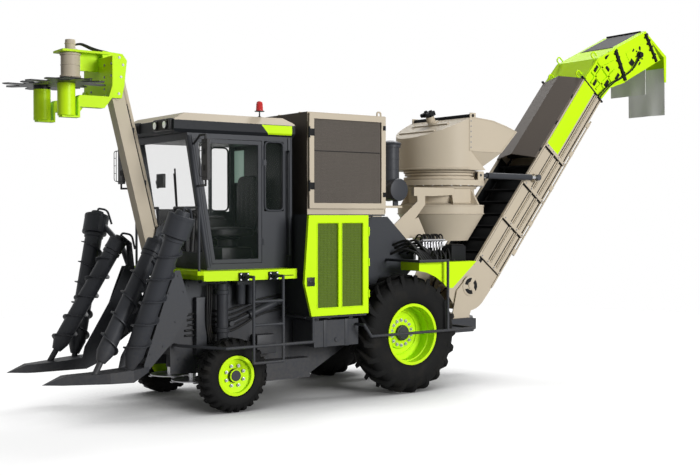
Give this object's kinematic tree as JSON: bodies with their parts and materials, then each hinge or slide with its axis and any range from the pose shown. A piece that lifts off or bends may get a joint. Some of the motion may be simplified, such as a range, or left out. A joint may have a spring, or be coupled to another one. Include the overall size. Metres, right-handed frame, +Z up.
{
  "type": "sugarcane harvester",
  "caption": "Wheeled sugarcane chopper harvester with topper, spiral crop dividers, cab, extractor and slewing elevator.",
  "frame": {"origin": "on the ground under the middle of the machine's overall length and width", "axes": "+X forward, +Y to the machine's left, +Z up"},
  "size_m": [10.9959, 2.7404, 5.4144],
  "materials": {
    "bare_steel": "brushed",
    "beige_paint": "satin",
    "black_plastic": "matte",
    "black_steel": "matte",
    "charcoal_paint": "satin",
    "clear_glass": "polished",
    "grey_rubber": "matte",
    "lime_paint": "satin",
    "red_lens": "polished",
    "screen_grey": "satin",
    "seat_black": "matte",
    "tyre": "matte"
  },
  "bodies": {
    "machine": {"chassis": "charcoal_paint", "rear_axle": "charcoal_paint", "engine": "charcoal_paint", "engine_bay": "charcoal_paint", "cooler_box": "beige_paint", "side_tanks": "charcoal_paint", "cab_platform": "lime_paint", "guard_rails": "charcoal_paint", "cab_frame": "charcoal_paint", "cab_roof": "beige_paint", "cab_glass": "clear_glass", "cab_interior": "seat_black", "mirrors": "black_plastic", "roof_lamps": "black_plastic", "beacon": "red_lens", "extractor_bowl": "beige_paint", "air_cleaner": "charcoal_paint", "valve_bank": "black_steel", "rear_fenders": "lime_paint"},
    "cab_door": {"cab_door": "charcoal_paint", "cab_door_glass": "clear_glass"},
    "engine_door_left": {"engine_door_left": "lime_paint"},
    "engine_door_right": {"engine_door_right": "lime_paint"},
    "cooler_door": {"cooler_door": "screen_grey"},
    "knuckle_left": {"knuckle_left": "charcoal_paint"},
    "knuckle_right": {"knuckle_right": "charcoal_paint"},
    "front_wheel_left": {"front_tyre_left": "tyre", "front_rim_left": "lime_paint"},
    "front_wheel_right": {"front_tyre_right": "tyre", "front_rim_right": "lime_paint"},
    "rear_wheel_left": {"rear_tyre_left": "tyre", "rear_rim_left": "lime_paint"},
    "rear_wheel_right": {"rear_tyre_right": "tyre", "rear_rim_right": "lime_paint"},
    "extractor_hood": {"extractor_hood": "beige_paint"},
    "extractor_fan": {"extractor_fan": "charcoal_paint"},
    "turntable": {"turntable": "beige_paint"},
    "elevator": {"elevator_frame": "beige_paint", "elevator_chain": "black_steel", "elevator_cover": "screen_grey", "elevator_bonnet": "lime_paint"},
    "bin_flap": {"bin_flap": "lime_paint", "end_curtain": "grey_rubber"},
    "lift_barrels": {"lift_barrels": "charcoal_paint"},
    "lift_rods": {"lift_rods": "bare_steel"},
    "topper_arm": {"topper_arm": "beige_paint"},
    "topper_link": {"topper_link": "beige_paint"},
    "topper_head": {"topper_head": "lime_paint"},
    "topper_drum_left": {"topper_drum_left": "charcoal_paint"},
    "topper_drum_right": {"topper_drum_right": "charcoal_paint"},
    "topper_cutter": {"topper_cutter": "charcoal_paint"},
    "divider_left": {"divider_left": "charcoal_paint"},
    "divider_right": {"divider_right": "charcoal_paint"},
    "scroll_outer_left": {"scroll_outer_left": "charcoal_paint"},
    "scroll_inner_left": {"scroll_inner_left": "charcoal_paint"},
    "scroll_outer_right": {"scroll_outer_right": "charcoal_paint"},
    "scroll_inner_right": {"scroll_inner_right": "charcoal_paint"},
    "base_cutter_left": {"base_cutter_left": "bare_steel"},
    "base_cutter_right": {"base_cutter_right": "bare_steel"}
  },
  "joints": [
    {"name": "steer_left", "type": "hinge", "parent": "machine", "child": "knuckle_left", "pos_m": [3.19974, 0.7, 0.44], "axis": [0, 0, 1], "range_deg": [-30, 30]},
    {"name": "front_wheel_left_spin", "type": "hinge", "parent": "knuckle_left", "child": "front_wheel_left", "pos_m": [3.19974, 0.92, 0.44], "axis": [0, 1, 0], "continuous": true},
    {"name": "rear_wheel_left_spin", "type": "hinge", "parent": "machine", "child": "rear_wheel_left", "pos_m": [0.59974, 0.94, 0.78], "axis": [0, 1, 0], "continuous": true},
    {"name": "engine_door_left_hinge", "type": "hinge", "parent": "machine", "child": "engine_door_left", "pos_m": [1.32974, 1.15, 1.7], "axis": [0, 0, 1], "range_deg": [0, 85]},
    {"name": "divider_left_lift", "type": "hinge", "parent": "machine", "child": "divider_left", "pos_m": [3.67974, 0.55, 1.08], "axis": [0, 1, 0], "range_deg": [-6, 12]},
    {"name": "scroll_outer_left_spin", "type": "hinge", "parent": "divider_left", "child": "scroll_outer_left", "pos_m": [4.49974, 0.8, 0.5], "axis": [-0.2549, 0.2141, 0.943], "continuous": true},
    {"name": "scroll_inner_left_spin", "type": "hinge", "parent": "divider_left", "child": "scroll_inner_left", "pos_m": [4.79974, 0.7, 0.62], "axis": [-0.4899, -0.0942, 0.8667], "continuous": true},
    {"name": "base_cutter_left_spin", "type": "hinge", "parent": "machine", "child": "base_cutter_left", "pos_m": [3.39974, 0.3, 0.33], "axis": [0, 0, 1], "continuous": true},
    {"name": "steer_right", "type": "hinge", "parent": "machine", "child": "knuckle_right", "pos_m": [3.19974, -0.7, 0.44], "axis": [0, 0, 1], "range_deg": [-30, 30]},
    {"name": "front_wheel_right_spin", "type": "hinge", "parent": "knuckle_right", "child": "front_wheel_right", "pos_m": [3.19974, -0.92, 0.44], "axis": [0, 1, 0], "continuous": true},
    {"name": "rear_wheel_right_spin", "type": "hinge", "parent": "machine", "child": "rear_wheel_right", "pos_m": [0.59974, -0.94, 0.78], "axis": [0, 1, 0], "continuous": true},
    {"name": "engine_door_right_hinge", "type": "hinge", "parent": "machine", "child": "engine_door_right", "pos_m": [1.32974, -1.15, 1.7], "axis": [0, 0, -1], "range_deg": [0, 85]},
    {"name": "divider_right_lift", "type": "hinge", "parent": "machine", "child": "divider_right", "pos_m": [3.67974, -0.55, 1.08], "axis": [0, 1, 0], "range_deg": [-6, 12]},
    {"name": "scroll_outer_right_spin", "type": "hinge", "parent": "divider_right", "child": "scroll_outer_right", "pos_m": [4.49974, -0.8, 0.5], "axis": [-0.2549, -0.2141, 0.943], "continuous": true},
    {"name": "scroll_inner_right_spin", "type": "hinge", "parent": "divider_right", "child": "scroll_inner_right", "pos_m": [4.79974, -0.7, 0.62], "axis": [-0.4899, 0.0942, 0.8667], "continuous": true},
    {"name": "base_cutter_right_spin", "type": "hinge", "parent": "machine", "child": "base_cutter_right", "pos_m": [3.39974, -0.3, 0.33], "axis": [0, 0, 1], "continuous": true},
    {"name": "cab_door_hinge", "type": "hinge", "parent": "machine", "child": "cab_door", "pos_m": [2.63974, 0.7123, 2.5], "axis": [0, 0, 1], "range_deg": [0, 85]},
    {"name": "cooler_door_hinge", "type": "hinge", "parent": "machine", "child": "cooler_door", "pos_m": [2.02474, 0.84, 3], "axis": [0, 0, -1], "range_deg": [0, 85]},
    {"name": "topper_lift", "type": "hinge", "parent": "machine", "child": "topper_arm", "pos_m": [3.78474, 0, 1.8], "axis": [0, 1, 0], "range_deg": [0, 55]},
    {"name": "topper_link_turn", "type": "hinge", "parent": "machine", "child": "topper_link", "pos_m": [3.73074, 0, 2.145], "axis": [0, 1, 0], "range_deg": [0, 55]},
    {"name": "topper_level", "type": "hinge", "parent": "topper_arm", "child": "topper_head", "pos_m": [4.27612, 0, 3.80054], "axis": [0, 1, 0], "range_deg": [-55, 0]},
    {"name": "topper_drum_left_spin", "type": "hinge", "parent": "topper_head", "child": "topper_drum_left", "pos_m": [5.02912, 0.39, 3.75054], "axis": [0, 0, 1], "continuous": true},
    {"name": "topper_drum_right_spin", "type": "hinge", "parent": "topper_head", "child": "topper_drum_right", "pos_m": [5.02912, -0.39, 3.75054], "axis": [0, 0, 1], "continuous": true},
    {"name": "topper_cutter_spin", "type": "hinge", "parent": "topper_head", "child": "topper_cutter", "pos_m": [4.82912, 0, 3.93054], "axis": [0, 0, 1], "continuous": true},
    {"name": "hood_swivel", "type": "hinge", "parent": "machine", "child": "extractor_hood", "pos_m": [-0.85026, 0, 3], "axis": [0, 0, 1], "range_deg": [-75, 75]},
    {"name": "fan_spin", "type": "hinge", "parent": "machine", "child": "extractor_fan", "pos_m": [-0.85026, 0, 2.66], "axis": [0, 0, 1], "continuous": true},
    {"name": "elevator_slew", "type": "hinge", "parent": "machine", "child": "turntable", "pos_m": [-0.85026, 0, 0.86], "axis": [0, 0, 1], "range_deg": [-80, 80]},
    {"name": "elevator_lift", "type": "hinge", "parent": "turntable", "child": "elevator", "pos_m": [-1.04026, 0, 1.32], "axis": [0, -1, 0], "range_deg": [0, 20]},
    {"name": "lift_barrel_tilt", "type": "hinge", "parent": "turntable", "child": "lift_barrels", "pos_m": [-1.12026, 0.53, 2.93], "axis": [0, -1, 0], "range_deg": [0, 17.61]},
    {"name": "lift_rod_slide", "type": "slide", "parent": "lift_barrels", "child": "lift_rods", "axis": [-1, 0, -0.0075], "range_m": [0, 0.5565]},
    {"name": "flap_tilt", "type": "hinge", "parent": "elevator", "child": "bin_flap", "pos_m": [-4.95922, 0, 5.40644], "axis": [0, 1, 0], "range_deg": [-10, 30]}
  ],
  "couplings": [
    {"joint": "steer_right", "follows": "steer_left", "ratio": 1},
    {"joint": "base_cutter_right_spin", "follows": "base_cutter_left_spin", "ratio": -1},
    {"joint": "topper_link_turn", "follows": "topper_lift", "ratio": 1},
    {"joint": "topper_level", "follows": "topper_lift", "ratio": -1},
    {"joint": "topper_drum_right_spin", "follows": "topper_drum_left_spin", "ratio": -1},
    {"joint": "lift_barrel_tilt", "follows": "elevator_lift", "ratio": 0.8806},
    {"joint": "lift_rod_slide", "follows": "elevator_lift", "m_per_rad": 1.5942}
  ]
}
